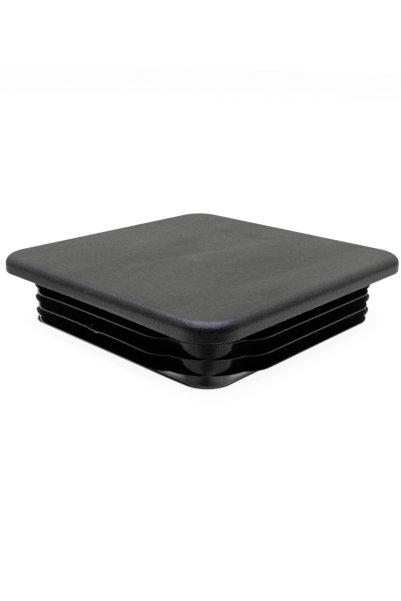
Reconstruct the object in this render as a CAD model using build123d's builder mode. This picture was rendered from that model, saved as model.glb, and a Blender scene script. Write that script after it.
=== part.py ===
from build123d import *
import os

# Push-in end cap for square box tube: a head with a rounded upper edge, over a hollow skirt
# whose three thin fins grip the inside of the tube. One moulding, in millimetres.
# It stands on the skirt's rim at z = 0, centred on the Z axis, with the head on top.

# The tube that the cap closes
tube_side = 100.0  # outside width of the square tube
tube_wall = 3.0  # nominal wall of the tube
tube_inner = tube_side - 2 * tube_wall

# Head: the square plate over the tube's end, flush with the tube's outside
head_thickness = 5.3
head_corner_radius = 10.8
head_upper_round = 3.0  # radius of the upper edge
head_lower_round = 0.3  # radius of the lower edge
panel_thickness = 3.5  # of the head inside the skirt, where it is cored out from below

# Skirt: the hollow box under the head
skirt_gap = 4.6  # from the tube's inner wall to the skirt
skirt_corner_radius = 8.5
skirt_wall = 2.5
lead_in_height = 3.6  # of the tapered stretch above the rim
lead_in_step = 0.45  # how far the taper draws in, on each side
rim_round = 0.4  # radius of the rim's outer edge
core_draft = 0.5  # degrees that the inside opens towards the rim
skirt_side = tube_inner - 2 * skirt_gap

# Fins: thin and flexible, one above the other
fin_count = 3
fin_pitch = 4.65
fin_grip = 1.2  # how far a fin reaches past the tube's inner wall before it bends
fin_edge = 0.4  # height of a fin's outer edge
fin_root = 1.2  # height of a fin where it leaves the skirt
first_fin_drop = 3.85  # from the head's underside to the top of the first fin
last_fin_to_rim = 4.15  # from the top of the last fin to the rim
fin_span = tube_inner + 2 * fin_grip

# A fin stands proud in a lobe along each side, steps back round the corners, and thins out
# towards each corner's diagonal until it is flush with the skirt
corner_relief = 13.4  # from the tube's inner wall to the end of a lobe
lobe_end_radius = 10.0
corner_ledge = 2.85  # width of the fin just beside a corner
corner_fin_radius = 17.0
corner_notch_floor = 1.6  # width over which the fin is flush
corner_notch_mouth = 5.0  # width over which it thins out
lobe_length = tube_inner - 2 * corner_relief
corner_fin_side = skirt_side + 2 * corner_ledge
rounding_loss = 2**0.5 - 1  # how far a rounding of radius 1 takes a square's corner back
skirt_apex = skirt_side / 2**0.5 - skirt_corner_radius * rounding_loss
corner_fin_apex = corner_fin_side / 2**0.5 - corner_fin_radius * rounding_loss

# Webs: the cross that stiffens the skirt from inside
web_thickness = 2.0
web_to_rim = 2.5  # from the rim up to the webs' lower edges
ceiling_fillet = 0.8  # where the skirt and the webs meet the head's panel

picking_margin = 0.01  # either side of a height at which edges are picked
seat_height = first_fin_drop + (fin_count - 1) * fin_pitch + last_fin_to_rim
ceiling_height = seat_height + head_thickness - panel_thickness
cavity_side = skirt_side - 2 * skirt_wall
fin_lobes = (
    (fin_span, lobe_length, lobe_end_radius),
    (lobe_length, fin_span, lobe_end_radius),
    (corner_fin_side, corner_fin_side, corner_fin_radius),
)

with BuildPart() as end_cap:
    # Head
    with BuildSketch(Plane.XY.offset(seat_height)):
        RectangleRounded(tube_side, tube_side, head_corner_radius)
    extrude(amount=head_thickness)
    fillet(end_cap.edges().group_by(Axis.Z)[-1], head_upper_round)
    fillet(end_cap.edges().group_by(Axis.Z)[0], head_lower_round)

    # Fins: a level outer edge, and an underside that slopes back to the skirt
    fin_depth = (fin_span - skirt_side) / 2
    for level in range(fin_count):
        fin_top = seat_height - first_fin_drop - level * fin_pitch
        with BuildSketch(Plane.XY.offset(fin_top)):
            for width, depth, radius in fin_lobes:
                RectangleRounded(width, depth, radius)
        extrude(amount=-fin_edge)
        for width, depth, radius in fin_lobes:
            with BuildSketch(Plane.XY.offset(fin_top - fin_edge)):
                RectangleRounded(width, depth, radius)
            with BuildSketch(Plane.XY.offset(fin_top - fin_root)):
                RectangleRounded(width - 2 * fin_depth, depth - 2 * fin_depth, radius - fin_depth)
            loft(ruled=True)
    notch_spread = (corner_notch_mouth - corner_notch_floor) / 2 / (corner_fin_apex - skirt_apex)
    notch_point = skirt_apex - corner_notch_floor / 2 / notch_spread
    notch_reach = corner_fin_apex + fin_grip
    notch_half = (notch_reach - notch_point) * notch_spread
    with BuildSketch():
        with PolarLocations(0, 4, start_angle=45):
            Polygon((notch_point, 0), (notch_reach, notch_half), (notch_reach, -notch_half), align=None)
    extrude(amount=seat_height - first_fin_drop, mode=Mode.SUBTRACT)

    # Skirt: straight walls, then the lead-in that tapers to the rim
    with BuildSketch(Plane.XY.offset(lead_in_height)):
        RectangleRounded(skirt_side, skirt_side, skirt_corner_radius)
    extrude(amount=seat_height - lead_in_height)
    rim_side = skirt_side - 2 * lead_in_step
    with BuildSketch():
        RectangleRounded(rim_side, rim_side, skirt_corner_radius - lead_in_step)
    with BuildSketch(Plane.XY.offset(lead_in_height)):
        RectangleRounded(skirt_side, skirt_side, skirt_corner_radius)
    loft(ruled=True)
    fillet(end_cap.edges().group_by(Axis.Z)[0], rim_round)

    # Cavity, open at the rim and a little wider there
    with BuildSketch(Plane.XY.offset(ceiling_height)):
        RectangleRounded(cavity_side, cavity_side, skirt_corner_radius - skirt_wall)
    extrude(amount=-ceiling_height, taper=-core_draft, mode=Mode.SUBTRACT)

    # Webs across the cavity
    with BuildSketch(Plane.XY.offset(web_to_rim)):
        Rectangle(cavity_side + skirt_wall, web_thickness)
        Rectangle(web_thickness, cavity_side + skirt_wall)
    extrude(amount=ceiling_height - web_to_rim)
    lowest, highest = ceiling_height - picking_margin, ceiling_height + picking_margin
    fillet(end_cap.edges().filter_by_position(Axis.Z, lowest, highest), ceiling_fillet)

end_cap.part.label = "end_cap"
os.makedirs("parts", exist_ok=True)
export_step(end_cap.part, "parts/end_cap.step")
print("volume", round(end_cap.part.volume / 1000, 2), "cm3, box", end_cap.part.bounding_box())
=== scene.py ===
import math
import bpy
from mathutils import Matrix, Vector


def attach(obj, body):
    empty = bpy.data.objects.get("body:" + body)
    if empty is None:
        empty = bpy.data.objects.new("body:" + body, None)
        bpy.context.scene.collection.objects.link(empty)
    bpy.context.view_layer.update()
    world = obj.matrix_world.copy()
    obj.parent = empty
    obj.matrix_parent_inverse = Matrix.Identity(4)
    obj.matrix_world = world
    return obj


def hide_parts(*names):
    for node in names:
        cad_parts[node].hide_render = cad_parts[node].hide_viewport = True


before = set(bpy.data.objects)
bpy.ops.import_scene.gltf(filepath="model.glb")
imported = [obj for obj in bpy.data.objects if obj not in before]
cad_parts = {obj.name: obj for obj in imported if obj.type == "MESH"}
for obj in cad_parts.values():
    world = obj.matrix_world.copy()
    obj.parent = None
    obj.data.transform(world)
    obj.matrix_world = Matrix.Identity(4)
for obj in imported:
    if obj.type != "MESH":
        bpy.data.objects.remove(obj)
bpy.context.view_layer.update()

# The cap's sizes are in millimetres, and those of the room round it in metres
mm = 0.001
noiseMiddle = 0.5  # a noise swings about this
noiseRange = (0.35, 0.65)  # and stays mostly within these


def metres(lengths):
    return [length * mm for length in lengths]


def addNode(tree, kind, inputs=None, **settings):
    node = tree.nodes.new(kind)
    for name, value in settings.items():
        setattr(node, name, value)
    for name, value in (inputs or {}).items():
        feed(tree, node.inputs[name], value)
    return node


def feed(tree, socket, value):  # a link where the value is a socket, and a plain setting otherwise
    if isinstance(value, bpy.types.NodeSocket):
        tree.links.new(value, socket)
    else:
        socket.default_value = value


def calc(tree, operation, *values, clamp=False):
    node = addNode(tree, "ShaderNodeMath", operation=operation, use_clamp=clamp)
    for socket, value in zip(node.inputs, values):
        feed(tree, socket, value)
    return node.outputs[0]


def plus(tree, first, second):
    return calc(tree, "ADD", first, second)


def minus(tree, first, second):
    return calc(tree, "SUBTRACT", first, second)


def times(tree, product, *factors):
    for factor in factors:
        product = calc(tree, "MULTIPLY", product, factor)
    return product


def absolute(tree, value):
    return calc(tree, "ABSOLUTE", value)


def larger(tree, first, second):
    return calc(tree, "MAXIMUM", first, second)


def isAbove(tree, value, limit):
    return calc(tree, "GREATER_THAN", value, limit)


def isBelow(tree, value, limit):
    return calc(tree, "LESS_THAN", value, limit)


def calcVector(tree, operation, *values, output=0):
    node = addNode(tree, "ShaderNodeVectorMath", operation=operation)
    for socket, value in zip(node.inputs, values):
        feed(tree, socket, value)
    return node.outputs[output]


def dot(tree, first, second):
    return calcVector(tree, "DOT_PRODUCT", first, second, output="Value")


def vectorLength(tree, vector):
    return calcVector(tree, "LENGTH", vector, output="Value")


def split(tree, vector):
    return addNode(tree, "ShaderNodeSeparateXYZ", {0: vector}).outputs


def splitAbsolute(tree, vector):
    return split(tree, calcVector(tree, "ABSOLUTE", vector))


def upright(tree, height):
    return addNode(tree, "ShaderNodeCombineXYZ", {"Z": height}).outputs[0]


def mix(tree, kind, share, first, second):
    node = addNode(tree, "ShaderNodeMix", {"Factor": share, "A": first, "B": second}, data_type=kind)
    return node.outputs["Result"]


# maps low..high to toLow..toHigh, and holds beyond
def spread(tree, value, low, high, toLow=0.0, toHigh=1.0):
    node = addNode(tree, "ShaderNodeMapRange", {
        "Value": value, "From Min": low, "From Max": high, "To Min": toLow, "To Max": toHigh})
    return node.outputs["Result"]


def between(tree, share, first, second):
    return spread(tree, share, 0.0, 1.0, first, second)


def peak(tree, value, start, top, end):  # rises from 0 to 1 and falls again
    return times(tree, spread(tree, value, start, top), spread(tree, value, top, end, 1.0, 0.0))


def noise(tree, vector, scale, detail=2.0, roughness=0.5, distortion=0.0, output="Fac"):
    node = addNode(tree, "ShaderNodeTexNoise", {
        "Vector": vector, "Scale": scale, "Detail": detail, "Roughness": roughness, "Distortion": distortion})
    return node.outputs[output]


# 1 in the core of an oval, falling to 0 at its outline
def patch(tree, place, middle, size, turn=0.0, core=0.1):
    inside = addNode(tree, "ShaderNodeMapping", {
        "Vector": place, "Location": middle, "Rotation": (0.0, 0.0, math.radians(turn)), "Scale": size},
        vector_type="TEXTURE").outputs[0]
    return spread(tree, vectorLength(tree, inside), core, 1.0, 1.0, 0.0)


def bump(tree, height, distance, **more):
    inputs = {"Height": height, "Distance": distance, "Strength": 1.0, **more}
    return addNode(tree, "ShaderNodeBump", inputs).outputs["Normal"]


def objectPlace(tree):
    return addNode(tree, "ShaderNodeTexCoord").outputs["Object"]


def newMaterial(name):
    material = bpy.data.materials.new(name)
    material.use_nodes = True
    tree = material.node_tree
    shader = tree.nodes["Principled BSDF"]
    return material, tree, shader


def coat(tree, shader, colour, roughness, normal):
    feed(tree, shader.inputs["Base Color"], colour)
    feed(tree, shader.inputs["Roughness"], roughness)
    feed(tree, shader.inputs["Normal"], normal)


# Finishes. A noise is given by its scale, then its detail, roughness and distortion where they matter.
grainLook = {
    "darkColour": (0.0012, 0.0008, 0.0016, 1.0),
    "paleColour": (0.032, 0.032, 0.031, 1.0),
    "roughness": (0.34, 0.11),  # where the surface is darkest and palest
    "grain": (1500.0, 3.0, 0.65),  # the spark-eroded texture
    "grainHeight": 0.115,
    "mottle": (1000.0, 2.0, 0.6),
    "mottleGain": 1.3,
    "cloud": (46.0, 4.0, 0.6, 0.8),
    "cloudTurn": 8.0,
    "cloudStretch": (1.0, 0.30, 1.0),
    "cloudRange": (0.30, 0.70),  # the part of the noise that shows
    "cloudPaleness": (0.08, 0.66),  # where the clouds are darkest and palest
    "sway": (130.0, 3.0),
    "ragged": 6.0,  # how far the streaks' outlines wander
    "streaks": (  # place, length, width and turn of each, and how much paler it is than the rest
        (3.5, 19.0, 24.0, 4.0, 86, 0.40),
        (-0.5, -2.0, 40.0, 4.5, 76, 0.50),
        (-5.0, -22.0, 22.0, 5.0, 80, 0.40),
        (3.0, -7.0, 13.0, 5.0, 20, 0.45),
        (-26.0, -4.5, 30.0, 10.0, 90, 0.35),
        (-3.0, 31.0, 16.0, 9.0, 0, -0.35),
        (-16.0, 28.0, 16.0, 9.0, 30, -0.35),
        (-15.0, 6.0, 18.0, 9.0, 80, -0.35),
        (42.0, -16.0, 22.0, 8.0, 90, -0.35),
        (20.0, 8.0, 34.0, 10.0, 75, -0.25),
    ),
    "specks": (  # place and size of each
        (0.1, -50.0, 20.9, 0.45),
        (3.9, -8.0, 22.6, 0.40),
        (49.4, -18.8, 22.0, 0.35),
    ),
    "speckColour": (0.22, 0.22, 0.20, 1.0),
}


def makeStreaks(tree, place):  # how pale the surface is: broad clouds with single streaks over them
    stretched = addNode(tree, "ShaderNodeMapping", {
        "Vector": place, "Rotation": (0.0, 0.0, math.radians(grainLook["cloudTurn"])),
        "Scale": grainLook["cloudStretch"]}).outputs[0]
    cloud = noise(tree, stretched, *grainLook["cloud"])
    sway = noise(tree, place, *grainLook["sway"], output="Color")
    sway = calcVector(tree, "SUBTRACT", sway, (noiseMiddle, noiseMiddle, noiseMiddle))
    ragged = grainLook["ragged"] * mm
    wandering = calcVector(tree, "MULTIPLY_ADD", sway, (ragged, ragged, 0.0), place)
    pale = spread(tree, cloud, *grainLook["cloudRange"], *grainLook["cloudPaleness"])
    for x, y, length, width, turn, amount in grainLook["streaks"]:
        size = (length / 2 * mm, width / 2 * mm, 1.0)
        oval = patch(tree, wandering, (x * mm, y * mm, 0.0), size, turn)
        pale = calc(tree, "MULTIPLY_ADD", oval, amount, pale)
    return pale


def makeGrainedPlastic():  # the head: a fine even grain with faint cloudy streaks
    material, tree, shader = newMaterial("grainedPlastic")
    place = objectPlace(tree)
    grain = noise(tree, place, *grainLook["grain"])
    mottle = minus(tree, noise(tree, place, *grainLook["mottle"]), noiseMiddle)
    pale = makeStreaks(tree, place)
    pale = calc(tree, "MULTIPLY_ADD", mottle, grainLook["mottleGain"], pale, clamp=True)
    colour = mix(tree, "RGBA", pale, grainLook["darkColour"], grainLook["paleColour"])
    for x, y, z, size in grainLook["specks"]:
        spot = patch(tree, place, metres((x, y, z)), metres((size, size, size)))
        colour = mix(tree, "RGBA", spot, colour, grainLook["speckColour"])
    roughness = between(tree, pale, *grainLook["roughness"])
    coat(tree, shader, colour, roughness, bump(tree, grain, grainLook["grainHeight"] * mm))
    return material


glossLook = {
    "darkColour": (0.0014, 0.0011, 0.0014, 1.0),
    "paleColour": (0.0022, 0.0018, 0.0022, 1.0),
    "roughness": (0.08, 0.13),
    "fineScale": 1400.0,
    "waveScale": 160.0,
    "waveHeight": 0.02,
    "witness": (3.7, 3.95),  # where the mould's corner inserts met, from each diagonal
    "witnessHeight": 0.07,
}


def makeGlossyPlastic():  # skirt and fins: polished steel left them smooth
    material, tree, shader = newMaterial("glossyPlastic")
    place = objectPlace(tree)
    wave = noise(tree, place, glossLook["waveScale"])
    fine = noise(tree, place, glossLook["fineScale"])
    paleness = spread(tree, wave, *noiseRange)
    colour = mix(tree, "RGBA", paleness, glossLook["darkColour"], glossLook["paleColour"])
    roughness = spread(tree, fine, *noiseRange, *glossLook["roughness"])
    sides = splitAbsolute(tree, place)
    offDiagonal = absolute(tree, minus(tree, sides["X"], sides["Y"]))
    inner, outer = [length * math.sqrt(2) for length in metres(glossLook["witness"])]
    fromLine = absolute(tree, minus(tree, offDiagonal, (inner + outer) / 2))
    line = spread(tree, fromLine, 0.0, outer - inner)
    waved = bump(tree, wave, glossLook["waveHeight"] * mm)
    lined = bump(tree, line, glossLook["witnessHeight"] * mm, Normal=waved)
    coat(tree, shader, colour, roughness, lined)
    return material


# Painted shade for the grooves: darker colours and less shine than the glossy plastic of the same part
shadedFlatsLook = {
    "darkColour": (0.0008, 0.0007, 0.0008, 1.0),
    "paleColour": (0.0016, 0.0014, 0.0016, 1.0),
    "roughness": (0.36, 0.44),
    "specular": 0.12,
    "grainScale": 1400.0,
    "grainHeight": 0.01,
    "scuff": (-2.5, -45.4, 8.9),  # on the second fin's upper side
    "scuffSize": (3.9, 0.8, 0.8),
    "scuffTurn": -59.6,
    "scuffColour": (0.10, 0.10, 0.09, 1.0),
}


def makeShadedFlatsPlastic():  # painted shade: a darker, less shiny copy of the glossy plastic on the flats between the fins
    material, tree, shader = newMaterial("shadedFlatsPlastic")
    place = objectPlace(tree)
    grain = noise(tree, place, shadedFlatsLook["grainScale"])
    colour = mix(tree, "RGBA", grain, shadedFlatsLook["darkColour"], shadedFlatsLook["paleColour"])
    middle = metres(shadedFlatsLook["scuff"])
    scuff = patch(tree, place, middle, metres(shadedFlatsLook["scuffSize"]), shadedFlatsLook["scuffTurn"])
    colour = mix(tree, "RGBA", times(tree, scuff, grain), colour, shadedFlatsLook["scuffColour"])
    roughness = spread(tree, grain, *noiseRange, *shadedFlatsLook["roughness"])
    coat(tree, shader, colour, roughness, bump(tree, grain, shadedFlatsLook["grainHeight"] * mm))
    feed(tree, shader.inputs["Specular IOR Level"], shadedFlatsLook["specular"])
    return material


grainedPlastic = makeGrainedPlastic()
glossyPlastic = makeGlossyPlastic()
shadedFlatsPlastic = makeShadedFlatsPlastic()
print("finishes made")


cap = {
    "side": 100.0,
    "seatHeight": 17.3,  # from the rim to the head's underside
    "headThickness": 5.3,
    "headCornerRadius": 10.8,
    "headUpperRound": 3.0,
    "headLowerRound": 0.3,
    "panelThickness": 3.5,
    "skirtSide": 84.8,
    "skirtCornerRadius": 8.5,
    "skirtWall": 2.5,
    "leadInStep": 0.45,  # how far the skirt draws in from the last fin to the rim
    "rimRound": 0.4,
    "innerRimRound": 0.15,
    "coreDraft": 0.5,  # degrees
    "ceilingFillet": 0.8,
    "webThickness": 2.0,
    "webToRim": 2.5,
    "webIntoPanel": 1.0,  # the webs run on this far, so that they unite with the panel
}

lip = {  # how the head's lower edge strays on the -Y side
    "drop": 0.45,  # it sits a little low here
    "dropStart": (17.0, 36.0),
    "dropEnd": (40.0, 46.0),
    "rise": 0.12,  # and a little high here
    "riseStart": (-24.0, -14.0),
    "riseEnd": (8.0, 18.0),
    "outwards": (43.5, 49.5),  # this grows from the skirt out to the head's side
    "upwards": (17.6, 19.6),  # and fades up the head's side
    "sideSlope": 1.0,  # it stops at the corners' diagonals
}

fin = {
    "count": 3,
    "pitch": 4.65,
    "firstDrop": 3.85,
    "span": 96.4,
    "lobeLength": 67.2,
    "lobeEndRadius": 10.0,
    "shortEnd": 0.7,  # how much sooner the lobe on the -Y side ends, at its +X end
    "cornerSide": 90.5,
    "cornerRadius": 17.0,
    "notchFloor": 1.6,  # width over which a fin is flush at a corner's diagonal
    "notchMouth": 5.0,  # width over which it thins out
    "edge": 0.46,
    "slope": 0.8 / 5.8,  # how the underside falls back to the skirt
    "edgeRound": 0.18,
}

finWaves = {
    "height": 0.05,
    "seed": 4.0,
    "scale": 1.6,
    "detail": 1.0,
    "gain": 4.0,  # a noise this soft swings little
    "perHeight": 900.0,  # how fast the waves change from one fin to the next, per metre
    "perDepth": 200.0,  # and how fast they grow outwards
}

finMarks = {  # a bend, a nick and a burr on the -Y side
    "lift": 0.33,  # the two upper fins are bent up a little
    "liftStart": (-25.0, -13.0),
    "liftEnd": (30.0, 34.0),
    "secondLiftEnd": (12.0, 24.0),
    "liftHeights": (5.0, 8.0),  # the third fin, below these, is straight
    "nickDepth": 0.35,  # the second fin's edge drops here and rises again
    "nick": (-1.8, -1.2, 8.0),
    "burrDrop": 0.5,
    "burr": (0.6, 2.1, 3.6),  # beside the nick
    "nearFin": 1.0,  # what is this close to the second fin's edge belongs to it
    "sideSlope": 1.25,  # the marks stop short of the corners
}

meshing = {
    "around": 640,  # points round the cap
    "spacingRadius": 20.0,  # they are spaced as on a square with these corners
    "spacingSteps": 24,
    "topRings": (0.0, 0.2, 0.4, 0.6, 0.8, 0.93, 0.99, 0.996),  # where the rings lie, as shares of the way out
    "ceilingRings": (0.95, 0.75, 0.5, 0.25, 0.0),
    "upperRings": 14,  # how many rings go over each rounding
    "lowerRings": 4,
    "finRings": 2,
    "rimRings": 4,
    "innerRimRings": 2,
    "filletRings": 5,
    "support": 0.15,  # a ring this close to an edge keeps the shading of the flat beside it even
    "weldDistance": 0.0005,
    "crispAngle": 28.0,  # degrees: a sharper edge is shaded as an edge
}

coating = {  # which faces get which finish
    "aboveSeat": 0.005,  # what lies this far above the head's underside gets the head's finish
    "innerWall": 3.2,  # and so does what lies this far inside the skirt's outside
    "facingIn": -5.0,  # and what faces the middle
    "flatness": 0.9,  # the fins' flats face this much up or down
    "flatsFrom": 3.0,  # and lie at least this high
}


def quarterRound(steps):  # (sine, cosine) pairs from 0 to 90 degrees
    turns = [math.pi / 2 * step / steps for step in range(steps + 1)]
    return [(math.sin(turn), math.cos(turn)) for turn in turns]


def drawSection():  # the cap's section from the middle of the top, over the edge and down, and back up inside
    section = []

    def add(half, height, radius, onFin=0.0, fallBack=0.0):
        ring = {"half": half, "height": height, "radius": radius, "onFin": onFin, "fallBack": fallBack}
        section.append(ring)

    half = cap["side"] / 2
    seat = cap["seatHeight"]
    top = seat + cap["headThickness"]
    upper = cap["headUpperRound"]
    lower = cap["headLowerRound"]
    corner = cap["headCornerRadius"]
    flat = half - upper
    for share in meshing["topRings"]:
        add(flat * share, top, (corner - upper) * share)
    for sine, cosine in quarterRound(meshing["upperRings"]):
        add(flat + upper * sine, top - upper * (1 - cosine), corner - upper * (1 - sine))
    add(half, (top - upper + seat) / 2, corner)
    for sine, cosine in quarterRound(meshing["lowerRings"]):
        add(half - lower * (1 - cosine), seat + lower * (1 - sine), corner - lower * (1 - cosine))

    skirt = cap["skirtSide"] / 2
    skirtRadius = cap["skirtCornerRadius"]
    support = meshing["support"]
    add(half - lower - support, seat, corner - lower - support)
    add(skirt + support, seat, skirtRadius + support)
    add(skirt, seat, skirtRadius)
    edgeRound = fin["edgeRound"]
    for level in range(fin["count"]):
        finTop = seat - fin["firstDrop"] - level * fin["pitch"]
        finBottom = finTop - fin["edge"]
        add(skirt, finTop + support, skirtRadius)
        add(skirt, finTop, skirtRadius)
        add(edgeRound + support, finTop, 0.0, onFin=1.0)
        for sine, cosine in quarterRound(meshing["finRings"]):
            add(edgeRound * (1 - sine), finTop - edgeRound * (1 - cosine), 0.0, onFin=1.0)
        for sine, cosine in quarterRound(meshing["finRings"]):
            add(edgeRound * (1 - cosine), finBottom + edgeRound * (1 - sine), 0.0, onFin=1.0)
        add(skirt, finBottom, skirtRadius, fallBack=fin["slope"])
        add(skirt, finBottom - support, skirtRadius, fallBack=fin["slope"])

    rim = skirt - cap["leadInStep"]
    rimRadius = skirtRadius - cap["leadInStep"]
    rimRound = cap["rimRound"]
    for sine, cosine in quarterRound(meshing["rimRings"]):
        add(rim - rimRound * (1 - cosine), rimRound * (1 - sine), rimRadius - rimRound * (1 - cosine))

    ceiling = top - cap["panelThickness"]
    fillet = cap["ceilingFillet"]
    cavity = skirt - cap["skirtWall"]
    cavityRadius = skirtRadius - cap["skirtWall"]
    mouth = ceiling * math.tan(math.radians(cap["coreDraft"]))  # how much wider the cavity is at the rim
    softened = cap["innerRimRound"]
    for sine, cosine in quarterRound(meshing["innerRimRings"]):
        outwards = mouth + softened * (1 - sine)
        add(cavity + outwards, softened * (1 - cosine), cavityRadius + outwards)
    for sine, cosine in quarterRound(meshing["filletRings"]):
        inwards = fillet * (1 - cosine)
        add(cavity - inwards, ceiling - fillet * (1 - sine), cavityRadius - inwards)
    for share in meshing["ceilingRings"]:
        add((cavity - fillet) * share, ceiling, (cavityRadius - fillet) * share)
    return section


def makeSectionMesh():
    section = drawSection()
    mesh = bpy.data.meshes.new("capSection")
    points = [(ring["half"] * mm, 0.0, ring["height"] * mm) for ring in section]
    mesh.from_pydata(points, [(i, i + 1) for i in range(len(points) - 1)], [])
    for name, unit in (("radius", mm), ("onFin", 1.0), ("fallBack", 1.0)):
        attribute = mesh.attributes.new(name, "FLOAT", "POINT")
        attribute.data.foreach_set("value", [ring[name] * unit for ring in section])
    print("section drawn,", len(section), "rings")
    return mesh


def newSocket(tree, name, kind, direction="INPUT", value=None):
    socket = tree.interface.new_socket(name, in_out=direction, socket_type="NodeSocket" + kind)
    if value is not None:
        socket.default_value = value


def makeReachTree():  # how far a rounded rectangle reaches from its centre in a direction
    tree = bpy.data.node_groups.new("rectangleReach", "GeometryNodeTree")
    newSocket(tree, "Direction", "Vector")
    for name in ("Half X", "Half Y", "Radius"):
        newSocket(tree, name, "Float")
    newSocket(tree, "Reach", "Float", "OUTPUT")
    given = tree.nodes.new("NodeGroupInput").outputs
    parts = splitAbsolute(tree, given["Direction"])
    aboveZero = 1e-6  # so that nothing is divided by zero
    across = larger(tree, parts["X"], aboveZero)
    along = larger(tree, parts["Y"], aboveZero)
    coreX = minus(tree, given["Half X"], given["Radius"])
    coreY = minus(tree, given["Half Y"], given["Radius"])
    toSideX = calc(tree, "DIVIDE", given["Half X"], across)
    toSideY = calc(tree, "DIVIDE", given["Half Y"], along)
    missesX = isAbove(tree, times(tree, toSideX, along), coreY)
    missesY = isAbove(tree, times(tree, toSideY, across), coreX)
    inCorner = times(tree, missesX, missesY)
    middle = plus(tree, times(tree, across, coreX), times(tree, along, coreY))
    coreSquare = plus(tree, calc(tree, "POWER", coreX, 2.0), calc(tree, "POWER", coreY, 2.0))
    under = minus(tree, calc(tree, "POWER", middle, 2.0), coreSquare)
    under = plus(tree, under, calc(tree, "POWER", given["Radius"], 2.0))
    toCorner = plus(tree, middle, calc(tree, "SQRT", larger(tree, under, 0.0)))
    toSide = calc(tree, "MINIMUM", toSideX, toSideY)
    addNode(tree, "NodeGroupOutput", {"Reach": mix(tree, "FLOAT", inCorner, toSide, toCorner)})
    return tree


def makeCapInputs(tree):
    newSocket(tree, "Geometry", "Geometry")
    newSocket(tree, "Geometry", "Geometry", "OUTPUT")
    lengths = {
        "Skirt Half": cap["skirtSide"] / 2, "Skirt Radius": cap["skirtCornerRadius"],
        "Fin Half": fin["span"] / 2, "Lobe Half": fin["lobeLength"] / 2, "Lobe Radius": fin["lobeEndRadius"],
        "Corner Half": fin["cornerSide"] / 2, "Corner Radius": fin["cornerRadius"],
        "Notch Floor": fin["notchFloor"] / 2, "Notch Mouth": fin["notchMouth"] / 2,
        "Fin Waviness": finWaves["height"], "Web Thickness": cap["webThickness"], "Web Foot": cap["webToRim"],
        "Web Length": cap["skirtSide"] - cap["skirtWall"],
        "Web Top": cap["seatHeight"] + cap["headThickness"] - cap["panelThickness"] + cap["webIntoPanel"],
        "Seat Height": cap["seatHeight"], "Fin Lift": finMarks["lift"], "Nick Depth": finMarks["nickDepth"],
        "Burr Drop": finMarks["burrDrop"], "Short End": fin["shortEnd"],
        "Lip Drop": lip["drop"], "Lip Rise": lip["rise"],
    }
    for name, value in lengths.items():
        newSocket(tree, name, "Float", value=value * mm)
    newSocket(tree, "Around", "Int", value=meshing["around"])
    newSocket(tree, "Seed", "Float", value=finWaves["seed"])
    for name in ("Upper Finish", "Lower Finish", "Shaded Flats Finish"):
        newSocket(tree, name, "Material")
    return tree.nodes.new("NodeGroupInput").outputs


def makeSpacing(tree, given):  # points evenly spaced round a rounded square
    side = cap["side"] * mm
    square = addNode(tree, "GeometryNodeCurvePrimitiveQuadrilateral", {
        "Width": side, "Height": side}).outputs[0]
    rounded = addNode(tree, "GeometryNodeFilletCurve", {
        0: square, "Radius": meshing["spacingRadius"] * mm, "Count": meshing["spacingSteps"]},
        mode="POLY").outputs[0]
    return addNode(tree, "GeometryNodeResampleCurve", {"Curve": rounded, "Count": given["Around"]}).outputs[0]


def makeSheet(tree, given):  # one row of points round the cap for each ring of the section
    rings = addNode(tree, "GeometryNodeAttributeDomainSize", {0: given["Geometry"]}).outputs["Point Count"]
    columns = plus(tree, given["Around"], 1.0)
    sheet = addNode(tree, "GeometryNodeMeshGrid", {
        "Vertices X": columns, "Vertices Y": rings}).outputs["Mesh"]
    index = addNode(tree, "GeometryNodeInputIndex").outputs[0]
    ring = calc(tree, "MODULO", index, rings)
    column = calc(tree, "FLOOR", calc(tree, "DIVIDE", plus(tree, index, 0.5), rings))
    column = calc(tree, "MODULO", column, given["Around"])
    return sheet, ring, column


def pick(tree, kind, geometry, value, index):
    node = addNode(tree, "GeometryNodeSampleIndex", {
        "Geometry": geometry, "Value": value, "Index": index}, data_type=kind)
    return node.outputs[0]


def makeFinReach(tree, given, direction, inset, reach):  # two crossed lobes over a rounded square
    finHalf, lobeHalf, lobeRadius, cornerHalf, cornerRadius = [minus(tree, given[name], inset) for name in (
        "Fin Half", "Lobe Half", "Lobe Radius", "Corner Half", "Corner Radius")]
    ways = split(tree, direction)
    isShort = times(tree, isAbove(tree, ways["X"], 0.0), isBelow(tree, ways["Y"], 0.0))
    shortHalf = minus(tree, lobeHalf, times(tree, isShort, given["Short End"]))
    lobes = larger(tree, reach(finHalf, lobeHalf, lobeRadius), reach(shortHalf, finHalf, lobeRadius))
    return larger(tree, lobes, reach(cornerHalf, cornerHalf, cornerRadius))


def makeGrowth(tree, given, direction, skirtReach):  # a fin grows from nothing at a corner's diagonal
    sides = splitAbsolute(tree, direction)
    offDiagonal = absolute(tree, minus(tree, sides["X"], sides["Y"]))
    offDiagonal = times(tree, offDiagonal, skirtReach, math.sqrt(0.5))
    return spread(tree, offDiagonal, given["Notch Floor"], given["Notch Mouth"])


def makeWaves(tree, given, direction, height, depth, onFin):
    level = upright(tree, times(tree, height, finWaves["perHeight"]))
    wave = addNode(tree, "ShaderNodeTexNoise", {
        "Vector": calcVector(tree, "ADD", direction, level), "W": given["Seed"],
        "Scale": finWaves["scale"], "Detail": finWaves["detail"]}, noise_dimensions="4D").outputs["Fac"]
    swing = times(tree, minus(tree, wave, noiseMiddle), given["Fin Waviness"], finWaves["gain"], onFin)
    return times(tree, swing, calc(tree, "MULTIPLY", depth, finWaves["perDepth"], clamp=True))


# how far along the -Y side a point lies, and whether it is on that side at all
def followSide(tree, direction, reach, slope):
    ways = split(tree, direction)
    along = times(tree, ways["X"], reach)
    onSide = isBelow(tree, ways["Y"], times(tree, absolute(tree, ways["X"]), -slope))
    return along, onSide


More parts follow.
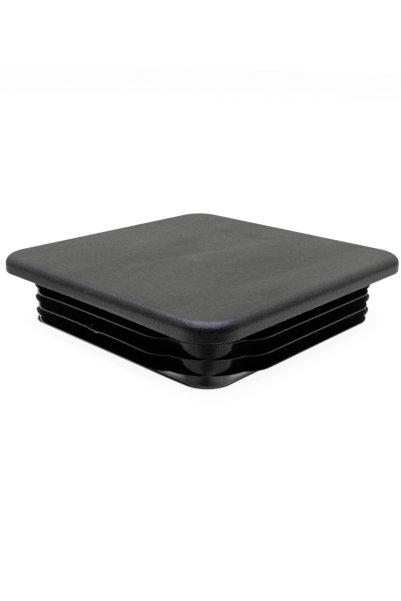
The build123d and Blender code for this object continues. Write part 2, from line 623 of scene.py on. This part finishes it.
def makeFinMarks(tree, given, direction, reach, height, onFin):
    along, onSide = followSide(tree, direction, reach, finMarks["sideSlope"])
    secondTop = cap["seatHeight"] - fin["firstDrop"] - fin["pitch"]
    fromMiddle = minus(tree, height, (secondTop - fin["edge"] / 2) * mm)
    onSecond = isBelow(tree, absolute(tree, fromMiddle), finMarks["nearFin"] * mm)
    lift = spread(tree, along, *metres(finMarks["liftStart"]), 0.0, given["Fin Lift"])
    ends = [spread(tree, along, *metres(finMarks[name]), 1.0, 0.0) for name in ("liftEnd", "secondLiftEnd")]
    lift = times(tree, lift, between(tree, onSecond, *ends))
    lift = times(tree, lift, spread(tree, height, *metres(finMarks["liftHeights"])))
    nick = peak(tree, along, *metres(finMarks["nick"]))
    burr = times(tree, peak(tree, along, *metres(finMarks["burr"])), isBelow(tree, fromMiddle, 0.0))
    dropped = plus(tree, times(tree, nick, given["Nick Depth"]), times(tree, burr, given["Burr Drop"]))
    marks = minus(tree, lift, times(tree, dropped, onSecond))
    return times(tree, marks, times(tree, onSide, onFin))


def makeLip(tree, given, direction, reach, drawn):
    along, onSide = followSide(tree, direction, reach, lip["sideSlope"])
    atEdge = spread(tree, drawn["X"], *metres(lip["outwards"]))
    low = spread(tree, drawn["Z"], *metres(lip["upwards"]), 1.0, 0.0)
    dropStart, dropEnd, riseStart, riseEnd = [spread(tree, along, *metres(lip[name])) for name in (
        "dropStart", "dropEnd", "riseStart", "riseEnd")]
    drop = times(tree, minus(tree, dropStart, dropEnd), given["Lip Drop"])
    rise = times(tree, minus(tree, riseStart, riseEnd), given["Lip Rise"])
    return times(tree, minus(tree, rise, drop), times(tree, atEdge, low, onSide))


def addWebs(tree, given, shell):  # the cross of webs, united with the shell
    height = minus(tree, given["Web Top"], given["Web Foot"])
    size = addNode(tree, "ShaderNodeCombineXYZ", {
        "X": given["Web Length"], "Y": given["Web Thickness"], "Z": height}).outputs[0]
    place = upright(tree, calc(tree, "MULTIPLY_ADD", height, 0.5, given["Web Foot"]))
    web = addNode(tree, "GeometryNodeMeshCube", {"Size": size}).outputs["Mesh"]
    union = addNode(tree, "GeometryNodeMeshBoolean", operation="UNION", solver="MANIFOLD")
    feed(tree, union.inputs["Mesh 2"], shell)
    for turn in (0.0, math.pi / 2):
        standing = addNode(tree, "GeometryNodeTransform", {
            "Geometry": web, "Translation": place, "Rotation": (0.0, 0.0, turn)}).outputs[0]
        feed(tree, union.inputs["Mesh 2"], standing)
    return union.outputs["Mesh"]


def shadeEdges(tree, mesh):  # crisp edges stay crisp, the rest is smooth
    angle = addNode(tree, "GeometryNodeInputMeshEdgeAngle").outputs["Unsigned Angle"]
    isCrisp = isAbove(tree, angle, math.radians(meshing["crispAngle"]))
    smooth = addNode(tree, "GeometryNodeSetShadeSmooth", {"Geometry": mesh}, domain="FACE").outputs[0]
    return addNode(tree, "GeometryNodeSetShadeSmooth", {
        "Geometry": smooth, "Selection": isCrisp, "Shade Smooth": False}, domain="EDGE").outputs[0]


def coatFaces(tree, given, geometry, position):
    height = split(tree, position)["Z"]
    isUpper = isAbove(tree, height, plus(tree, given["Seat Height"], coating["aboveSeat"] * mm))
    faceWay = addNode(tree, "GeometryNodeInputNormal").outputs[0]
    outwardness = dot(tree, faceWay, calcVector(tree, "MULTIPLY", position, (1.0, 1.0, 0.0)))
    sides = splitAbsolute(tree, position)
    fromAxis = larger(tree, sides["X"], sides["Y"])
    isInside = isBelow(tree, fromAxis, minus(tree, given["Skirt Half"], coating["innerWall"] * mm))
    isInside = larger(tree, isInside, isBelow(tree, outwardness, coating["facingIn"] * mm))
    isUpper = larger(tree, isUpper, isInside)
    isLower = minus(tree, 1.0, isUpper)
    # the fins' flats get the material with painted shade
    isFlat = isAbove(tree, absolute(tree, split(tree, faceWay)["Z"]), coating["flatness"])
    isFlat = times(tree, isFlat, isAbove(tree, height, coating["flatsFrom"] * mm), isLower)
    for finish, isChosen in (("Lower Finish", isLower), ("Upper Finish", isUpper), ("Shaded Flats Finish", isFlat)):
        geometry = addNode(tree, "GeometryNodeSetMaterial", {
            "Geometry": geometry, "Selection": isChosen, "Material": given[finish]}).outputs[0]
    return geometry


def makeCapTree(reachTree):
    tree = bpy.data.node_groups.new("capMoulding", "GeometryNodeTree")
    given = makeCapInputs(tree)
    spacing = makeSpacing(tree, given)
    sheet, ring, column = makeSheet(tree, given)
    position = addNode(tree, "GeometryNodeInputPosition").outputs[0]
    drawn = split(tree, pick(tree, "FLOAT_VECTOR", given["Geometry"], position, ring))
    direction = calcVector(tree, "NORMALIZE", pick(tree, "FLOAT_VECTOR", spacing, position, column))

    def fromSection(name):
        value = addNode(tree, "GeometryNodeInputNamedAttribute", {"Name": name}, data_type="FLOAT").outputs[0]
        return pick(tree, "FLOAT", given["Geometry"], value, ring)

    def reach(halfX, halfY, radius):
        return addNode(tree, "GeometryNodeGroup", {
            "Direction": direction, "Half X": halfX, "Half Y": halfY, "Radius": radius},
            node_tree=reachTree).outputs["Reach"]

    # how far out a ring goes: a fin's rings are drawn in by an inset, and the others have their own size
    onFin = fromSection("onFin")
    plainReach = reach(drawn["X"], drawn["X"], fromSection("radius"))
    skirtReach = reach(given["Skirt Half"], given["Skirt Half"], given["Skirt Radius"])
    finReach = larger(tree, makeFinReach(tree, given, direction, drawn["X"], reach), skirtReach)
    growth = makeGrowth(tree, given, direction, skirtReach)
    finDepth = times(tree, minus(tree, finReach, skirtReach), growth)
    ringReach = mix(tree, "FLOAT", onFin, plainReach, plus(tree, skirtReach, finDepth))

    # how high: the underside of a fin falls back to the skirt, and its edge waves a little
    swing = makeWaves(tree, given, direction, drawn["Z"], finDepth, onFin)
    swing = plus(tree, swing, makeFinMarks(tree, given, direction, ringReach, drawn["Z"], onFin))
    swing = plus(tree, swing, makeLip(tree, given, direction, plainReach, drawn))
    fallen = times(tree, finDepth, fromSection("fallBack"))
    height = minus(tree, plus(tree, drawn["Z"], swing), fallen)

    outwards = addNode(tree, "ShaderNodeVectorMath", {0: direction, "Scale": ringReach}, operation="SCALE")
    place = calcVector(tree, "ADD", outwards.outputs[0], upright(tree, height))
    swept = addNode(tree, "GeometryNodeSetPosition", {"Geometry": sheet, "Position": place}).outputs[0]
    welded = addNode(tree, "GeometryNodeMergeByDistance", {
        "Geometry": swept, "Distance": meshing["weldDistance"] * mm}).outputs[0]
    shell = addNode(tree, "GeometryNodeFlipFaces", {"Mesh": welded}).outputs[0]
    shaded = shadeEdges(tree, addWebs(tree, given, shell))
    addNode(tree, "NodeGroupOutput", {"Geometry": coatFaces(tree, given, shaded, position)})
    return tree


def setInput(modifier, name, value):
    for item in modifier.node_group.interface.items_tree:
        if item.item_type == "SOCKET" and item.in_out == "INPUT" and item.name == name:
            modifier[item.identifier] = value


def makeMoulding():
    moulding = bpy.data.objects.new("mouldedCap", makeSectionMesh())
    bpy.context.collection.objects.link(moulding)
    nodes = moulding.modifiers.new("sweepRoundSquare", "NODES")
    nodes.node_group = makeCapTree(makeReachTree())
    setInput(nodes, "Upper Finish", grainedPlastic)
    setInput(nodes, "Lower Finish", glossyPlastic)
    setInput(nodes, "Shaded Flats Finish", shadedFlatsPlastic)
    evaluated = moulding.evaluated_get(bpy.context.evaluated_depsgraph_get())
    mesh = bpy.data.meshes.new_from_object(evaluated)
    mesh.name = "mouldedCap"
    moulding.modifiers.clear()
    moulding.data = mesh
    print("moulding made,", len(mesh.vertices), "points,", len(mesh.polygons), "faces")
    return moulding


moulding = makeMoulding()
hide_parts("end_cap")
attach(moulding, "root")


facing = {  # level directions from the cap
    "camera": (0.688, -0.725),
    "right": (0.725, 0.688),  # to the camera's right
}

paintedTableGlow = {  # what the plastic mirrors: the floor's own glow, a painted light that is brighter on the right and close by, with painted shade in front
    "rightFrom": (-0.01, 0.01),  # the left side gives way to the right here
    "near": 0.50,  # its brightness towards the camera
    "left": 0.82,  # and farther out to either side
    "right": 1.05,
    "sideReach": (0.026, 0.050),
    "farReach": (0.074, 0.115),  # where it darkens again
    "farLeft": 0.55,
    "farRight": 0.70,
    "shade": 0.15,  # its brightness in the shade before the near corner
    "shadeStart": 0.0566,  # where this begins, from the cap's centre
    "shadeWidens": 0.060,  # from here it widens
    "shadeWidth": (0.004, 50.0),  # at its start, and how it widens with the square of the distance
    "shadeEdge": (0.30, 1.25),  # it fades between these shares of its width
    "close": 13.0,  # how much brighter the table is right beside the skirt
    "closeFade": (0.0486, 0.0536),  # towards the near corner it is less so
    "closeLeft": 0.7,
    "closeRight": 3.2,
    "closeReach": (0.0455, 0.051),
    "closeForward": (0.010, 0.030),  # and towards the corners at the sides not at all
    "footReach": (0.0424, 0.0444),  # under the skirt's foot it is in shade
    "footLeft": (1.6, 0.05),  # there, away from the near corner and at it
    "footRight": (1.1, 2.3),
    "besideLeft": 2.3,  # how much brighter it is along the left side
    "besideReach": (0.064, 0.078),
    "besideStart": (0.030, 0.040),
    "besideEnd": (0.052, 0.076),
}

ground = {  # what the camera sees: white, with the cap's shadow and a painted contact shadow along the rim
    "size": 8.0,
    "glow": 0.93,  # its own brightness, so that it stays white
    "shade": 0.10,  # how much of the shadow shows on top
    "paintedContactLeft": 1.25,  # how far the painted contact shadow reaches from the rim, in millimetres
    "paintedContactRight": 0.45,
    "paintedContactCore": 0.6,  # the share of it that is fully dark
}


def makePaintedTableGlow(tree, place, onRight):
    forward = absolute(tree, dot(tree, place, (*facing["camera"], 0.0)))
    toSide = absolute(tree, dot(tree, place, (*facing["right"], 0.0)))
    sides = splitAbsolute(tree, place)
    fromAxis = larger(tree, sides["X"], sides["Y"])

    # from the middle outwards
    outer = between(tree, onRight, paintedTableGlow["left"], paintedTableGlow["right"])
    farther = between(tree, onRight, paintedTableGlow["farLeft"], paintedTableGlow["farRight"])
    outer = times(tree, outer, spread(tree, toSide, *paintedTableGlow["farReach"], 1.0, farther))
    level = spread(tree, toSide, *paintedTableGlow["sideReach"], paintedTableGlow["near"], outer)

    # the painted shade in front
    beyond = larger(tree, minus(tree, forward, paintedTableGlow["shadeWidens"]), 0.0)
    width, widening = paintedTableGlow["shadeWidth"]
    shadeHalf = calc(tree, "MULTIPLY_ADD", times(tree, beyond, beyond), widening, width)
    offside = calc(tree, "DIVIDE", toSide, shadeHalf)
    behind = times(tree, isBelow(tree, forward, paintedTableGlow["shadeStart"]), paintedTableGlow["shadeEdge"][1])
    offside = larger(tree, offside, behind)
    level = spread(tree, offside, *paintedTableGlow["shadeEdge"], paintedTableGlow["shade"], level)

    # painted brightness right beside the skirt and along the left side, and painted shade under its foot
    atCorner = spread(tree, forward, *paintedTableGlow["closeFade"])
    cornerGain = between(tree, onRight, paintedTableGlow["closeLeft"], paintedTableGlow["closeRight"])
    closeGain = between(tree, atCorner, paintedTableGlow["close"], cornerGain)
    feet = [between(tree, atCorner, *paintedTableGlow[name]) for name in ("footLeft", "footRight")]
    closeGain = spread(tree, fromAxis, *paintedTableGlow["footReach"], between(tree, onRight, *feet), closeGain)
    closeGain = spread(tree, forward, *paintedTableGlow["closeForward"], 1.0, closeGain)
    gain = spread(tree, fromAxis, *paintedTableGlow["closeReach"], closeGain, 1.0)
    beside = spread(tree, fromAxis, *paintedTableGlow["besideReach"], paintedTableGlow["besideLeft"], 1.0)
    alongLeft = times(tree, spread(tree, toSide, *paintedTableGlow["besideStart"]),
                      spread(tree, toSide, *paintedTableGlow["besideEnd"], 1.0, 0.0), minus(tree, 1.0, onRight))
    return times(tree, level, between(tree, alongLeft, gain, beside))


def makeGroundShader(tree, place, onRight):
    shade = ground["shade"]
    shadowed = addNode(tree, "ShaderNodeBsdfDiffuse", {"Color": (shade, shade, shade, 1.0)}).outputs[0]
    rimHalf = cap["skirtSide"] / 2 - cap["leadInStep"]
    rimCore = (rimHalf - cap["skirtCornerRadius"] + cap["leadInStep"]) * mm
    fromCore = calcVector(tree, "SUBTRACT", calcVector(tree, "ABSOLUTE", place), (rimCore, rimCore, 0.0))
    fromCore = vectorLength(tree, calcVector(tree, "MAXIMUM", fromCore, (0.0, 0.0, 0.0)))
    fromRim = minus(tree, fromCore, rimHalf * mm - rimCore)
    paintedContactReach = between(tree, onRight, ground["paintedContactLeft"] * mm, ground["paintedContactRight"] * mm)
    # the glow fades to black at the rim: a painted contact shadow
    clear = spread(tree, fromRim, times(tree, paintedContactReach, ground["paintedContactCore"]), paintedContactReach)
    glow = addNode(tree, "ShaderNodeEmission", {"Strength": times(tree, clear, ground["glow"])}).outputs[0]
    return addNode(tree, "ShaderNodeAddShader", {0: shadowed, 1: glow}).outputs[0]


def makeFloor():
    mesh = bpy.data.meshes.new("studioFloor")
    half = ground["size"] / 2
    corners = [(-half, -half, 0), (half, -half, 0), (half, half, 0), (-half, half, 0)]
    mesh.from_pydata(corners, [], [(0, 1, 2, 3)])
    floor = bpy.data.objects.new("studioFloor", mesh)
    bpy.context.collection.objects.link(floor)
    material, tree, shader = newMaterial("paleFloorPaintedGlow")
    tree.nodes.remove(shader)
    place = objectPlace(tree)
    onRight = spread(tree, dot(tree, place, (*facing["right"], 0.0)), *paintedTableGlow["rightFrom"])
    level = makePaintedTableGlow(tree, place, onRight)
    # only reflections see this glow: painted light and painted shade, not lit by any lamp
    mirrored = addNode(tree, "ShaderNodeEmission", {"Strength": level}).outputs[0]
    seen = makeGroundShader(tree, place, onRight)
    isSeen = addNode(tree, "ShaderNodeLightPath").outputs["Is Camera Ray"]
    mixed = addNode(tree, "ShaderNodeMixShader", {0: isSeen, 1: mirrored, 2: seen}).outputs[0]
    feed(tree, tree.nodes["Material Output"].inputs["Surface"], mixed)
    mesh.materials.append(material)


room = {
    "colour": (1.0, 1.0, 0.955, 1.0),
    "seenColour": (1.0, 1.0, 1.0, 1.0),  # what the camera sees of it
    "back": 0.645,  # brightness behind the cap
    "turn": (-0.55, 0.40),  # where it grows to that, from the camera's side round to the far side
    "horizon": 0.55,
    "rise": 1.30,  # how much brighter it gets overhead
}


def makeRoom():  # bright behind the cap and dark behind the camera
    world = bpy.data.worlds.new("studioRoom")
    bpy.context.scene.world = world
    world.use_nodes = True
    tree = world.node_tree
    isSeen = addNode(tree, "ShaderNodeLightPath").outputs["Is Camera Ray"]
    direction = addNode(tree, "ShaderNodeTexCoord").outputs["Generated"]
    level = calcVector(tree, "NORMALIZE", calcVector(tree, "MULTIPLY", direction, (1.0, 1.0, 0.0)))
    wayX, wayY = facing["camera"]
    backwards = dot(tree, level, (-wayX, -wayY, 0.0))
    turned = spread(tree, backwards, *room["turn"], 0.0, room["back"])
    rising = larger(tree, split(tree, direction)["Z"], 0.0)
    risen = calc(tree, "MULTIPLY_ADD", rising, room["rise"], room["horizon"])
    background = tree.nodes["Background"]
    feed(tree, background.inputs["Color"], mix(tree, "RGBA", isSeen, room["colour"], room["seenColour"]))
    feed(tree, background.inputs["Strength"], mix(tree, "FLOAT", isSeen, times(tree, turned, risen), 1.0))


softbox = {
    "height": 1.0,
    "across": 1.25,
    "deep": 1.33,
    "toRight": -0.115,
    "toCamera": 0.065,
    "radiance": 2.8,
    "colour": (0.98, 1.0, 1.23),
}


def makeSoftbox():  # one large softbox overhead, square to the camera
    light = bpy.data.lights.new("softbox", "AREA")
    light.shape = "RECTANGLE"
    light.color = softbox["colour"]
    light.size = softbox["across"]
    light.size_y = softbox["deep"]
    light.energy = softbox["radiance"] * math.pi * softbox["across"] * softbox["deep"]
    lamp = bpy.data.objects.new("softbox", light)
    bpy.context.collection.objects.link(lamp)
    cameraWay = Vector((*facing["camera"], 0.0))
    rightWay = Vector((*facing["right"], 0.0))
    lamp.location = rightWay * softbox["toRight"] + cameraWay * softbox["toCamera"]
    lamp.location.z = softbox["height"]
    lamp.rotation_euler.z = math.atan2(rightWay.y, rightWay.x)


cameraPlace = {
    "azimuth": 43.517,
    "elevation": 19.288,
    "roll": 0.453,
    "distance": 236.112,
    "rightOfSeat": -0.981,  # what the camera looks at, from the middle of the head's underside
    "aboveSeat": -10.936,
    "lens": 41.651,
    "clipStart": 10.0,
}


def makeCamera():
    azimuth = math.radians(cameraPlace["azimuth"])
    elevation = math.radians(cameraPlace["elevation"])
    roll = math.radians(cameraPlace["roll"])
    forward = Vector((-math.sin(azimuth) * math.cos(elevation), math.cos(azimuth) * math.cos(elevation),
                      -math.sin(elevation)))
    level = Vector((math.cos(azimuth), math.sin(azimuth), 0.0))
    overhead = level.cross(forward)
    right = level * math.cos(roll) + overhead * math.sin(roll)
    up = overhead * math.cos(roll) - level * math.sin(roll)
    target = Vector((0.0, 0.0, cap["seatHeight"]))
    target += right * cameraPlace["rightOfSeat"] + up * cameraPlace["aboveSeat"]
    data = bpy.data.cameras.new("camera")
    data.lens = cameraPlace["lens"]
    data.clip_start = cameraPlace["clipStart"] * mm
    camera = bpy.data.objects.new("camera", data)
    bpy.context.collection.objects.link(camera)
    camera.location = (target - forward * cameraPlace["distance"]) * mm
    camera.rotation_euler = Matrix((right, up, -forward)).transposed().to_euler()
    bpy.context.scene.camera = camera


makeFloor()
makeRoom()
makeSoftbox()
makeCamera()
bpy.context.scene.view_settings.view_transform = "Standard"
print("studio set")
